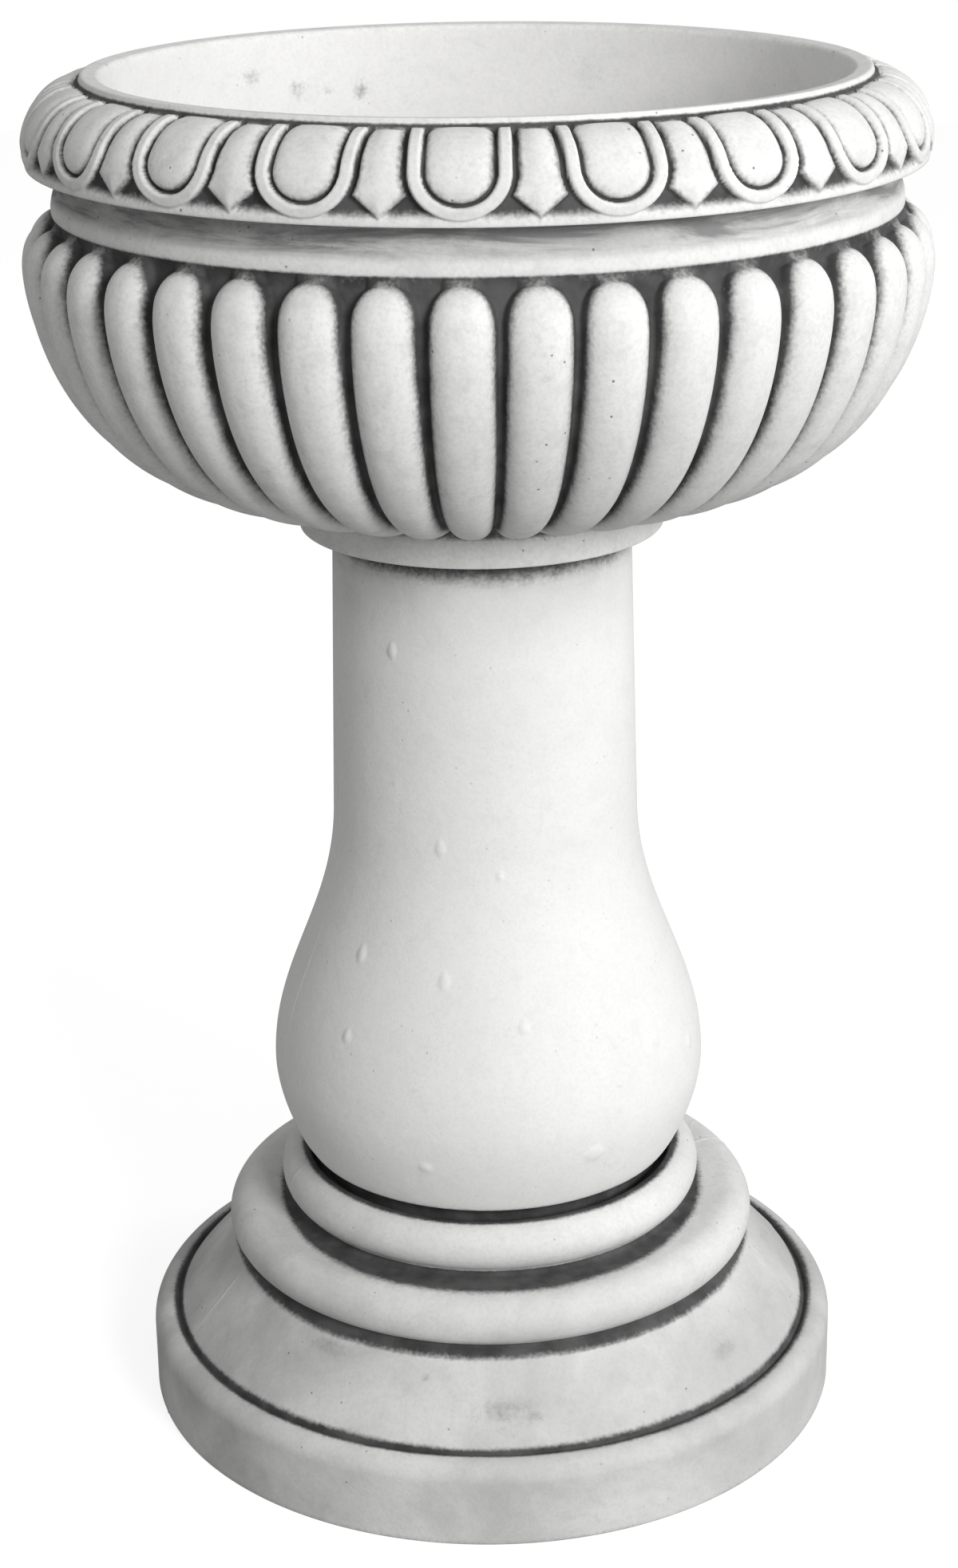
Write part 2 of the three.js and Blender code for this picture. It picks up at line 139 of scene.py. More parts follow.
def add_floor():
    mesh = bpy.data.meshes.new("floor")
    corners = [(x * FLOOR_HALF, y * FLOOR_HALF, 0) for x, y in ((-1, -1), (1, -1), (1, 1), (-1, 1))]
    mesh.from_pydata(corners, [], [(0, 1, 2, 3)])
    floor = bpy.data.objects.new("floor", mesh)
    bpy.context.scene.collection.objects.link(floor)
    material = bpy.data.materials.new("floor")
    material.use_nodes = True
    shader = material.node_tree.nodes["Principled BSDF"]
    shader.inputs["Base Color"].default_value = (FLOOR_GREY, FLOOR_GREY, FLOOR_GREY, 1)
    shader.inputs["Roughness"].default_value = 0.9
    shader.inputs["Emission Color"].default_value = (1, 1, 1, 1)
    path = material.node_tree.nodes.new("ShaderNodeLightPath")
    glow = material.node_tree.nodes.new("ShaderNodeMath")
    glow.operation = "MULTIPLY"
    glow.inputs[1].default_value = FLOOR_GLOW
    material.node_tree.links.new(path.outputs["Is Camera Ray"], glow.inputs[0])
    material.node_tree.links.new(glow.outputs[0], shader.inputs["Emission Strength"])
    mesh.materials.append(material)


# ---- Outlines and turned meshes ----


def line(start, end, step):
    """Points from start towards end, the end left out, about a step apart."""
    start, end = np.array(start, float), np.array(end, float)
    count = max(1, round(float(np.linalg.norm(end - start)) / step))
    return [tuple(start + (end - start) * i / count) for i in range(count)]


def arc(centre, radii, start, end, step):
    """Points on an ellipse's arc in degrees, the end left out."""
    length = math.radians(abs(end - start)) * max(radii)
    count = max(2, round(length / step))
    angles = [math.radians(start + (end - start) * i / count) for i in range(count)]
    return [(centre[0] + radii[0] * math.cos(a), centre[1] + radii[1] * math.sin(a)) for a in angles]


def cubic(controls, step):
    """Points on a cubic curve, the end left out."""
    p = [np.array(c, float) for c in controls]
    length = sum(float(np.linalg.norm(p[i + 1] - p[i])) for i in range(3))
    count = max(2, round(length / step))
    points = []
    for i in range(count):
        t = i / count
        u = 1 - t
        points.append(tuple(u**3 * p[0] + 3 * u * u * t * p[1] + 3 * u * t * t * p[2] + t**3 * p[3]))
    return points


def even(points, step):
    """The same path with its points evenly spaced, the end left out."""
    points = np.array(points, float)
    run = np.concatenate([[0], np.cumsum(np.linalg.norm(np.diff(points, axis=0), axis=1))])
    count = max(2, round(run[-1] / step))
    at = np.linspace(0, run[-1], count + 1)[:-1]
    return list(zip(np.interp(at, run, points[:, 0]), np.interp(at, run, points[:, 1])))


def normals(outline):
    """Outward normals of a closed anticlockwise outline."""
    along = np.roll(outline, -1, axis=0) - np.roll(outline, 1, axis=0)
    along /= np.maximum(np.linalg.norm(along, axis=1, keepdims=True), 1e-9)
    return np.stack([along[:, 1], -along[:, 0]], axis=1)


def turned_mesh(name, outline, outward, depth, angles, marks):
    """The outline in mm turned round Z, sunk by depth along its normals, with float marks per point."""
    radii = outline[:, :1] - depth * outward[:, :1]
    heights = outline[:, 1:] - depth * outward[:, 1:]
    rows, columns = radii.shape
    points = np.empty((rows, columns, 3))
    points[..., 0] = radii * np.sin(angles) * MM
    points[..., 1] = -radii * np.cos(angles) * MM
    points[..., 2] = heights * MM
    row = np.arange(rows)[:, None]
    column = np.arange(columns)[None, :]
    above = (row + 1) % rows
    beside = (column + 1) % columns
    faces = np.stack([
        row * columns + column,
        row * columns + beside,
        above * columns + beside,
        above * columns + column,
    ], axis=-1).reshape(-1, 4)
    mesh = bpy.data.meshes.new(name)
    mesh.vertices.add(rows * columns)
    mesh.vertices.foreach_set("co", points.ravel())
    mesh.loops.add(faces.size)
    mesh.loops.foreach_set("vertex_index", faces.ravel())
    mesh.polygons.add(len(faces))
    mesh.polygons.foreach_set("loop_start", np.arange(0, faces.size, 4))
    mesh.polygons.foreach_set("loop_total", np.full(len(faces), 4))
    mesh.update(calc_edges=True)
    mesh.polygons.foreach_set("use_smooth", np.ones(len(faces), bool))
    for key, values in marks.items():
        layer = mesh.attributes.new(key, "FLOAT", "POINT")
        layer.data.foreach_set("value", np.broadcast_to(values, radii.shape).astype(np.float32).ravel())
    piece = bpy.data.objects.new(name, mesh)
    bpy.context.scene.collection.objects.link(piece)
    return piece


def smooth(low, high, value):
    """0 at low, 1 at high and beyond, with soft ends; low may be the greater one."""
    t = np.clip((value - low) / (high - low), 0, 1)
    return t * t * (3 - 2 * t)


def turn_from(start, angles):
    """Angles counted from start, between -pi and pi."""
    return (angles - start + math.pi) % (2 * math.pi) - math.pi


# ---- Materials ----


def stone_material():
    """Off-white cast stone: fine grain, pinholes, faint smears, dark patina in hollows, and painted shade
    in near-black and grey.
    """
    material = bpy.data.materials.new("cast_stone")
    material.use_nodes = True
    tree = material.node_tree
    nodes, links = tree.nodes, tree.links
    shader = nodes["Principled BSDF"]
    shader.inputs["Roughness"].default_value = 0.78
    shader.inputs["Specular IOR Level"].default_value = 0.3
    place = nodes.new("ShaderNodeTexCoord").outputs["Object"]

    def noise(scale, detail, rough, stretch=None, distortion=0.0):
        vector = place
        if stretch:
            mapping = nodes.new("ShaderNodeMapping")
            mapping.inputs["Scale"].default_value = stretch
            links.new(place, mapping.inputs["Vector"])
            vector = mapping.outputs[0]
        texture = nodes.new("ShaderNodeTexNoise")
        texture.inputs["Scale"].default_value = scale
        texture.inputs["Detail"].default_value = detail
        texture.inputs["Roughness"].default_value = rough
        texture.inputs["Distortion"].default_value = distortion
        links.new(vector, texture.inputs["Vector"])
        return texture.outputs["Fac"]

    def math_node(kind, a, b, clamp=False):
        node = nodes.new("ShaderNodeMath")
        node.operation = kind
        node.use_clamp = clamp
        for socket, value in zip(node.inputs, (a, b)):
            if isinstance(value, (int, float)):
                socket.default_value = value
            else:
                links.new(value, socket)
        return node.outputs[0]

    def ramp(value, low, high, to_low=0.0, to_high=1.0):
        node = nodes.new("ShaderNodeMapRange")
        node.interpolation_type = "SMOOTHSTEP"
        node.inputs["From Min"].default_value = low
        node.inputs["From Max"].default_value = high
        node.inputs["To Min"].default_value = to_low
        node.inputs["To Max"].default_value = to_high
        links.new(value, node.inputs["Value"])
        return node.outputs[0]

    def mix(factor, a, b):
        node = nodes.new("ShaderNodeMix")
        node.data_type = "RGBA"
        links.new(factor, node.inputs[0])
        for socket, value in zip((node.inputs[6], node.inputs[7]), (a, b)):
            if isinstance(value, tuple):
                socket.default_value = value
            else:
                links.new(value, socket)
        return node.outputs[2]

    def mark(name):
        node = nodes.new("ShaderNodeAttribute")
        node.attribute_name = name
        return node.outputs["Fac"]

    # Patina and painted shade: the mark, its edge broken by brushed, coarse and fine noise
    brushed = noise(150, 5, 0.7, stretch=(1, 1, 0.5), distortion=0.3)
    coarse = noise(24, 4, 0.65)
    grit = noise(420, 2, 0.5)
    edge = mark("wash_and_shade")
    for ragged, strength in ((brushed, 0.42), (coarse, 0.5), (grit, 0.4)):
        edge = math_node("ADD", edge, math_node("MULTIPLY", math_node("SUBTRACT", ragged, 0.5), strength))
    dark = ramp(edge, 0.3, 0.86)
    soft = ramp(edge, 0.08, 0.5, 0.0, 0.55)
    streaks = ramp(noise(55, 5, 0.7, stretch=(0.2, 0.2, 1.6), distortion=0.5), 0.36, 0.7)
    drift = ramp(noise(9, 5, 0.6, distortion=0.6), 0.3, 0.7, 0.25, 0.65)
    # Grey mark: mostly painted shade (lobe flanks, under the belly, under the band, under the bowl, the
    # base's left side), with streaks drawn over it; on the base it also greys the lower steps
    shade_and_haze = math_node("MULTIPLY", mark("shade_and_haze"), drift)
    drawn = math_node("ADD", 0.18, math_node("MULTIPLY", streaks, 0.8))
    drawn = math_node("MULTIPLY", mark("streak"), drawn)
    shade_and_haze = math_node("ADD", shade_and_haze, drawn, clamp=True)

    # Stone colour: pale body, cloudy patches, a few grey smears
    body = mix(ramp(noise(7, 4, 0.6), 0.3, 0.7), (0.80, 0.797, 0.787, 1), (0.755, 0.752, 0.742, 1))
    mottle = mark("mottle")
    speckle = math_node("MULTIPLY", math_node("ADD", mottle, 0.3), ramp(grit, 0.38, 0.72, 0.0, 0.26))
    body = mix(speckle, body, (0.58, 0.577, 0.57, 1))
    clouds = math_node("MULTIPLY", mottle, ramp(noise(70, 5, 0.65), 0.45, 0.72, 0.0, 0.4))
    body = mix(clouds, body, (0.56, 0.56, 0.555, 1))
    smear = math_node("MULTIPLY", mottle, ramp(noise(26, 5, 0.7, distortion=1.2), 0.6, 0.74, 0.0, 0.36))
    body = mix(smear, body, (0.45, 0.45, 0.445, 1))
    # Near-black: the dark patina in the grooves, and painted shade under the band, under the bowl's foot
    # and under the lobes' ends
    grime_and_shade = mix(ramp(noise(45, 3, 0.6), 0.3, 0.7), (0.042, 0.042, 0.043, 1), (0.09, 0.09, 0.09, 1))
    # Grey painted shade mixed into the body, and a greyer lower base
    shaded_and_hazed = mix(shade_and_haze, body, (0.24, 0.24, 0.24, 1))

    # Pinholes: sparse dark dots
    cells = nodes.new("ShaderNodeTexVoronoi")
    cells.inputs["Scale"].default_value = 95
    cells.inputs["Randomness"].default_value = 1.0
    links.new(place, cells.inputs["Vector"])
    hole = ramp(cells.outputs["Distance"], 0.04, 0.1, 1.0, 0.0)
    chosen = ramp(noise(33, 2, 0.5), 0.52, 0.58)
    pin = math_node("MULTIPLY", mottle, math_node("MULTIPLY", hole, chosen))

    colour = mix(soft, shaded_and_hazed, (0.30, 0.30, 0.298, 1))
    colour = mix(dark, colour, grime_and_shade)
    colour = mix(math_node("MULTIPLY", pin, 0.8), colour, (0.12, 0.12, 0.12, 1))
    links.new(colour, shader.inputs["Base Color"])

    grain = math_node("MULTIPLY", noise(900, 3, 0.6), 0.35)
    lumps = math_node("MULTIPLY", noise(90, 4, 0.55), 0.9)
    relief = math_node("SUBTRACT", math_node("ADD", grain, lumps), math_node("MULTIPLY", pin, 1.6))
    bump = nodes.new("ShaderNodeBump")
    bump.inputs["Strength"].default_value = 0.35
    bump.inputs["Distance"].default_value = 0.0012
    links.new(relief, bump.inputs["Height"])
    links.new(bump.outputs[0], shader.inputs["Normal"])
    return material


def plain_material(name, low, high, roughness, scale, metallic=0.0, depth=0.0004):
    """A material with two close colours mixed by noise, and a fine bump."""
    material = bpy.data.materials.new(name)
    material.use_nodes = True
    nodes, links = material.node_tree.nodes, material.node_tree.links
    shader = nodes["Principled BSDF"]
    shader.inputs["Roughness"].default_value = roughness
    shader.inputs["Metallic"].default_value = metallic
    place = nodes.new("ShaderNodeTexCoord").outputs["Object"]
    texture = nodes.new("ShaderNodeTexNoise")
    texture.inputs["Scale"].default_value = scale
    texture.inputs["Detail"].default_value = 5
    links.new(place, texture.inputs["Vector"])
    mix = nodes.new("ShaderNodeMix")
    mix.data_type = "RGBA"
    mix.inputs[6].default_value = (*low, 1)
    mix.inputs[7].default_value = (*high, 1)
    links.new(texture.outputs["Fac"], mix.inputs[0])
    links.new(mix.outputs[2], shader.inputs["Base Color"])
    bump = nodes.new("ShaderNodeBump")
    bump.inputs["Strength"].default_value = 0.5
    bump.inputs["Distance"].default_value = depth
    links.new(texture.outputs["Fac"], bump.inputs["Height"])
    links.new(bump.outputs[0], shader.inputs["Normal"])
    return material


def stains(places, angles, radius, z):
    """Soft patches: degrees from -Y, height, half width and half height in mm, and strength."""
    shade = np.zeros_like(angles)
    for degrees, middle, half_width, half_height, strength in places:
        off = turn_from(math.radians(degrees), angles)
        reach = np.hypot(off * radius / half_width, (z - middle) / half_height)
        shade = np.maximum(shade, strength * smooth(1, 0.2, reach))
    return shade


# ---- Bowl ----

# Inside the bowl, heights counted from the rim
INNER_STAINS = [
    (-137.0, -26.0, 16.0, 9.0, 0.32),
    (-146.0, -36.0, 9.0, 7.0, 0.3),
    (-152.0, -38.0, 8.0, 6.0, 0.36),
    (-158.0, -41.0, 9.0, 9.0, 0.42),
    (64.0, -33.0, 12.0, 6.0, 0.3),
]

EGGS = 20
FLUTES = 40
COLUMNS_PER_EGG = 80
FOOT_RADIUS = 112.5
FOOT_HEIGHT = 18.5
PAD_GAP = 0.3
SPIGOT_RADIUS = 42.0
BELLY_RADIUS = 271.5
BELLY_DROP_POWER = 1.7
BELLY_ROUND_POWER = 4.55
FOOT_CREASE = 5.5
BELLY_DEPTH = 141.0
FLUTE_TOP_RISE = 32.0
FLUTE_TOP_INSET = 10.5
FLUTE_TIP_ROWS = 7.0  # the crest's top, with rows closer together
# A lobe's half width and height as shares of half the pitch, and its head's length in half widths
LOBE_SHARE = 0.91
LOBE_HEIGHT_SHARE = 0.62
TIP_STRETCH = 1.4
NECK_RISE = 28.0
BAND_BOTTOM_ROUND = 9.0
BAND_BOTTOM_RADIUS = 266.0
BAND_RADIUS = 268.5
BAND_RISE = 38.4
RIM_CREASE_RADIUS = 235.0
RIM_OUTER_RADIUS = 232.5
MOUTH_RADIUS = 220.0
CAVITY_RADIUS = 224.0
FLOOR_THICKNESS = 53.0
FLOOR_RADIUS = 90.0
DRAIN_RADIUS = 12.8
RECESS_RADIUS = 20.3
RECESS_DEPTH = 2.6


def across_pitch(angles, count):
    """0 at the middle of a repeat, 1 at its edge."""
    turns = angles * count / (2 * math.pi)
    return np.abs(turns - np.round(turns)) * 2


def belly_radius(z, belly):
    drop = min(1.0, max(0.0, (belly - z) / BELLY_DEPTH))
    if z > belly:
        return BELLY_RADIUS - FLUTE_TOP_INSET * ((z - belly) / FLUTE_TOP_RISE) ** 2
    return BELLY_RADIUS * (1 - drop**BELLY_DROP_POWER) ** (1 / BELLY_ROUND_POWER)


def flute_shape(across, radius, from_top, from_foot):
    """Share of the lobes' height that is missing, the same with squarer feet, and that height in mm."""
    half = radius * math.pi / FLUTES
    lobe = half * LOBE_SHARE
    side = (across * half / lobe) ** 2.4
    tip = lobe * TIP_STRETCH
    top = np.clip((tip * 0.84 - from_top) / tip, 0, None)
    foot = np.clip((lobe - from_foot) / lobe, 0, None)
    missing = 1 - np.clip(1 - side - top**2 - foot**2.2, 0, None) ** 0.58
    washed = 1 - np.sqrt(np.clip(1 - side - top**2 - foot**5, 0, None))
    return missing, washed, half * LOBE_HEIGHT_SHARE


EGG_HALF_WIDTH = 18.7
FILLET_INNER = 20.3
FILLET_OUTER = 27.6
FILLET_FOOT = 1.2  # its slopes run this far out
FILLET_HEAD = 0.9  # and this far in
FILLET_GAP = 3.0
EGG_ROUND_HEIGHT = 30.0
GROUND_DEPTH = 5.5


def egg_shape(across, z, head, band_bottom, half_pitch):
    """Depth in mm of the egg-and-dart carving below the band's own curve, and its darkening from 0 to 1:
    patina in the grooves, painted shade on the eggs' rims and the darts' edges.
    """
    above = z - band_bottom
    below = np.clip(EGG_ROUND_HEIGHT - above, 0, None) * 1.06
    reach = np.hypot(across, below)
    ground = GROUND_DEPTH * smooth(0.5, 10.0, above)  # it runs out to the worn lower edge
    egg_inside = np.clip(1 - (reach / EGG_HALF_WIDTH) ** 3 - np.clip(1 - head / 4.0, 0, 1) ** 3, 0, 1)
    egg = ground * (1 - 1.06 * egg_inside**0.45)
    fillet = smooth(FILLET_INNER - FILLET_FOOT, FILLET_INNER + FILLET_HEAD, reach)
    fillet *= 1 - smooth(FILLET_OUTER - FILLET_HEAD, FILLET_OUTER + FILLET_FOOT, reach)
    fillet *= smooth(0.6, 2.4, head)
    # Dart: a rounded blade between the fillets, with a kite's tip and a faint ridge
    from_middle = half_pitch - across
    side = reach - FILLET_OUTER - FILLET_GAP
    tip = ((above - 4.0) * 1.12 - from_middle) * 0.66
    inside = np.minimum(np.minimum(side, tip), (head - 1.2) * 1.1)
    dart = smooth(-0.8, 0.8, inside) * (0.6 + 0.4 * np.sqrt(smooth(-1, 8.5, inside)))
    dart *= 1 - 0.07 * smooth(0, 7, from_middle)
    depth = np.where(reach < FILLET_INNER - FILLET_FOOT, egg, ground)
    depth = np.minimum(depth, ground * (1 - fillet) + 0.15 * fillet)
    outside = reach > FILLET_OUTER - FILLET_HEAD
    depth = np.where(outside, np.minimum(depth, ground * (1 - dart)), depth)
    # Patina: full in the grooves, a soft edge on eggs and darts, none on the fillets' faces; painted
    # shade on the eggs' rims and the darts' edges
    share = depth / GROUND_DEPTH
    wash_and_shade = smooth(0.06, 0.9, share) * (0.58 + 0.42 * smooth(3.0, 13.0, above))
    shade = np.where(reach < FILLET_INNER, 0.5 * smooth(EGG_HALF_WIDTH - 5.5, EGG_HALF_WIDTH, reach), 0.0)
    dart_shade = 0.52 * smooth(4.5, 0.2, inside) * smooth(1.0, 8.0, above)
    shade = np.maximum(shade, np.where(side > -1, dart_shade, 0.0))
    return depth, np.maximum(wash_and_shade, shade * (1 - fillet))


def bowl_piece():
    bottom = height("bowl", 0)
    sill = height("bowl_seat_pad", 1) + PAD_GAP
    foot_top = sill + FOOT_HEIGHT
    flute_foot = foot_top + FOOT_CREASE
    belly = flute_foot + BELLY_DEPTH
    flute_top = belly + FLUTE_TOP_RISE
    band_bottom = flute_top + NECK_RISE
    band_wide = band_bottom + BAND_BOTTOM_ROUND
    band_top = band_wide + BAND_RISE
    rim_top = height("bowl", 1)
    floor = sill + FLOOR_THICKNESS

    spigot = line((DRAIN_RADIUS, bottom), (SPIGOT_RADIUS - 2, bottom), 8)
    spigot += arc((SPIGOT_RADIUS - 2, bottom + 2), (2, 2), -90, 0, 1)
    spigot += line((SPIGOT_RADIUS, bottom + 2), (SPIGOT_RADIUS, sill), 6)
    spigot += line((SPIGOT_RADIUS, sill), (FOOT_RADIUS - 1.2, sill), 10)
    foot = arc((FOOT_RADIUS - 1.2, sill + 1.2), (1.2, 1.2), -90, 0, 0.6)
    foot += line((FOOT_RADIUS, sill + 1.2), (FOOT_RADIUS - 0.5, foot_top - 1), 1.8)
    crest = [(belly_radius(z, belly), z) for z in np.linspace(flute_foot, flute_top, 2400)]
    crest = [(r, z) for r, z in crest if r > FOOT_RADIUS + 2]
    tips = [(r, z) for r, z in crest if z > flute_top - FLUTE_TIP_ROWS]
    crest = [(r, z) for r, z in crest if z <= flute_top - FLUTE_TIP_ROWS]
    flutes = [(FOOT_RADIUS - 2.0, foot_top + 0.4)] + even(crest, 2.3) + even(tips, 0.7) + [tips[-1]]
    neck = [(251.8, flute_top + 0.15)]
    bead = [(252.4, 0.8), (252.8, 2.5), (252.6, 6), (251.6, 11)]
    neck += even([(r, flute_top + rise) for r, rise in bead], 1.3)
    hollow = [(251.2, flute_top + 12), (249.5, flute_top + 16)]
    neck += cubic(hollow + [(245.2, band_bottom - 8), (245.5, band_bottom)], 1.6)
    under = line((246.2, band_bottom), (BAND_BOTTOM_RADIUS - 0.8, band_bottom), 4.0)
    band = [(BAND_BOTTOM_RADIUS, band_bottom + 0.8)]
    lip = [(BAND_BOTTOM_RADIUS + 0.4, 1.6), (BAND_RADIUS - 0.7, 4.5), (BAND_RADIUS, BAND_BOTTOM_ROUND)]
    band += even([(r, band_bottom + rise) for r, rise in lip], 0.8)
    arch = arc((RIM_CREASE_RADIUS, band_wide), (BAND_RADIUS - RIM_CREASE_RADIUS, BAND_RISE), 0, 90, 0.25)
    band += even(arch, 0.8)
    rim = [(RIM_CREASE_RADIUS - 0.8, band_top - 0.1), (RIM_OUTER_RADIUS + 0.4, band_top + 0.4)]
    rim += line((RIM_OUTER_RADIUS, band_top + 1.3), (RIM_OUTER_RADIUS - 0.6, rim_top - 1.2), 0.9)
    rim += arc((RIM_OUTER_RADIUS - 2.0, rim_top - 1.4), (1.4, 1.4), 0, 90, 0.8)
    rim += line((RIM_OUTER_RADIUS - 2.2, rim_top), (MOUTH_RADIUS + 4.2, rim_top - 0.6), 1.6)
    rim += arc((MOUTH_RADIUS + 3.4, rim_top - 4.2), (-3.4, 3.6), 90, 0, 0.9)
    inside = line((MOUTH_RADIUS, rim_top - 4.4), (CAVITY_RADIUS, belly), 5)
    cavity = arc((FLOOR_RADIUS, belly), (CAVITY_RADIUS - FLOOR_RADIUS, belly - floor), -88, 0, 5)
    inside += cavity[::-1]
    inside += line((FLOOR_RADIUS, floor), (RECESS_RADIUS, floor), 8)
    inside += line((RECESS_RADIUS, floor), (RECESS_RADIUS, floor - RECESS_DEPTH), 2)
    inside += line((RECESS_RADIUS, floor - RECESS_DEPTH), (DRAIN_RADIUS, floor - RECESS_DEPTH), 4)
    inside += line((DRAIN_RADIUS, floor - RECESS_DEPTH), (DRAIN_RADIUS, bottom), 12)

    sections = [spigot, foot, flutes, neck, under, band, rim, inside]
    # The row after each section, which is the first row of the next
    ends = np.cumsum([len(s) for s in sections])
    foot_at, flutes_at, neck_at, under_at, band_at, rim_at, inside_at, end = ends
    outline = np.array([p for s in sections for p in s], float)
    outward = normals(outline)
    columns = EGGS * COLUMNS_PER_EGG
    angles = np.arange(columns) * 2 * math.pi / columns
    depth, wash_and_shade, shade_and_haze, streak = np.zeros((4, len(outline), columns))

    # Flutes: the first row is the crease above the foot ring, and the ends are carved square to the crest
    outward[flutes_at + 1] = outward[flutes_at + 2]
    outward[neck_at - 1] = outward[neck_at - 2]
    run = np.concatenate([[0], np.cumsum(np.linalg.norm(np.diff(outline, axis=0), axis=1))])
    across = across_pitch(angles, FLUTES)
    # Painted shade in the crease under the lobes' ends
    wash_and_shade[flutes_at] = 0.7
    for row in range(flutes_at + 1, neck_at):
        from_foot = run[row] - run[flutes_at + 1]
        from_top = run[neck_at - 1] - run[row]
        share, washed, crest_height = flute_shape(across, outline[row, 0], from_top, from_foot)
        depth[row] = share * crest_height
        upper = smooth(belly - 60, flute_top, outline[row, 1])
        lower = smooth(belly + 10, belly - 120, outline[row, 1])
        wash_and_shade[row] = smooth(0.14 - 0.05 * upper, 0.94 - 0.2 * upper, washed)
        # Painted shade: greyer up the lobes' flanks and over the belly's underside
        shade_and_haze[row] = 0.06 + 0.5 * smooth(0.02, 0.6, washed) * (0.25 + 0.75 * lower) + 0.3 * lower
    # Neck: painted shade under the band, with brushed streaks, and dark patina at its lower edge
    for row in range(neck_at, under_at):
        up = outline[row, 1] - flute_top
        wash_and_shade[row] = 1.1 * smooth(2.4, -1.0, up) + 0.3 * smooth(13, 26, up)
        shade_and_haze[row] = 0.12 + 0.4 * smooth(6.0, 13.0, up)
        streak[row] = smooth(7.0, 16.0, up)
    # The band's underside: painted shade, with streaks
    wash_and_shade[under_at:band_at] = 0.6
    streak[under_at:band_at] = 1.0
    # Eggs and darts
    for row in range(band_at, rim_at):
        radius, z = outline[row]
        # The pattern narrows a little upwards
        half_pitch = math.pi * math.sqrt(radius * BAND_RADIUS) / EGGS
        head = run[rim_at] - run[row]
        across = across_pitch(angles, EGGS) * half_pitch
        # The carving's depth, and its dark patina with painted shade on the eggs' rims and the darts'
        # edges
        depth[row], eggs_wash_and_shade = egg_shape(across, z, head, band_bottom, half_pitch)
        wash_and_shade[row] = np.maximum(eggs_wash_and_shade, 0.75 * smooth(2.2, 0.4, head))
        shade_and_haze[row] = 0.12
    # Crease under the rim
    for row in range(rim_at, inside_at):
        up = outline[row, 1] - band_top
        wash_and_shade[row] = 0.9 * smooth(2.2, 0.5, up) if outline[row, 0] > RIM_OUTER_RADIUS - 1 else 0
    # Painted shade on the foot ring under the belly
    shade_and_haze[foot_at:flutes_at] = 0.35
    for row in range(inside_at, end):
        wash_and_shade[row] = stains(INNER_STAINS, angles, outline[row, 0], outline[row, 1] - rim_top)

    mottle = np.ones_like(depth)
    mottle[inside_at:] = 0.35
    marks = {"wash_and_shade": wash_and_shade, "shade_and_haze": shade_and_haze, "streak": streak, "mottle": mottle}
    return turned_mesh("carved_bowl", outline, outward, depth, angles, marks)


# ---- Shaft ----

SHAFT_FOOT_RADIUS = 112.0
SHAFT_FOOT_HEIGHT = 15.0
BULB_EDGE_RADIUS = 121.5
BULB_EDGE_RISE = 5.6
BULB_RADIUS = 140.3
BULB_HEIGHT = 79.0
SHAFT_NECK_RADIUS = 97.2
SHAFT_NECK_HEIGHT = 251.0
SHAFT_HEAD_RADIUS = 92.8
CORE_RADIUS = 25.0
SOCKET_RADIUS = 45.0
SOCKET_DEPTH = 20.0
SHAFT_COLUMNS = 600
SEAM_ANGLE = math.radians(-69.0)
SEAM_WIDTH = 0.8
# Heights at the most
SEAM_HEIGHT_SHAFT = 0.35
SEAM_HEIGHT_BASE = 0.4
BLISTER_HEIGHT = 0.9


def seam_columns(count):
    """Even columns, with a close group at the mould seam and one opposite it."""
    even_angles = np.arange(count) * 2 * math.pi / count
    fine = np.radians(np.array([-1.2, -0.7, -0.45, -0.25, -0.1, 0, 0.1, 0.25, 0.45, 0.7, 1.2]))
    extra = np.concatenate([SEAM_ANGLE + fine, SEAM_ANGLE + math.pi + fine]) % (2 * math.pi)
    return np.unique(np.round(np.concatenate([even_angles, extra]), 6))


def seam_ridge(angles, radius):
    """A thin, uneven mould ridge, 0 to 1."""
    off = turn_from(SEAM_ANGLE, angles)
    back = turn_from(-math.pi, off)
    nearest = np.minimum(np.abs(off), np.abs(back)) * radius
    return np.exp(-((nearest / SEAM_WIDTH) ** 2))


# Blisters cast on the shaft: degrees from -Y, height, half width and half length in mm
BLISTERS = [
    (-33.9, 531.0, 2.4, 5.0),
    (-14.8, 409.3, 2.6, 5.0),
    (6.8, 392.2, 2.0, 2.6),
    (-42.6, 333.8, 2.6, 5.6),
    (-11.6, 328.3, 2.8, 5.6),
    (38.6, 306.3, 2.8, 6.0),
    (12.2, 301.5, 2.8, 4.0),
    (-40.6, 285.0, 2.4, 4.2),
    (53.6, 274.0, 2.6, 4.6),
    (70.6, 257.1, 3.0, 5.0),
    (30.4, 214.2, 5.6, 5.6),
    (-15.2, 210.7, 3.6, 3.2),
    (118.0, 352.0, 2.6, 5.0),
    (163.0, 246.0, 3.0, 5.4),
    (-128.0, 298.0, 2.6, 4.8),
]


def blister_height(angles, radius, z):
    """Low drops of cast stone that have run down the shaft."""
    raised = np.zeros_like(angles)
    for degrees, middle, half_width, half_length in BLISTERS:
        off = turn_from(math.radians(degrees), angles)
        up = (z - middle) / half_length
        across = off * radius / (1.35 * half_width * (1 - 0.35 * np.clip(up, 0, 1)))
        raised = np.maximum(raised, BLISTER_HEIGHT * np.sqrt(np.clip(1 - across**2 - up**2, 0, None)))
    return raised


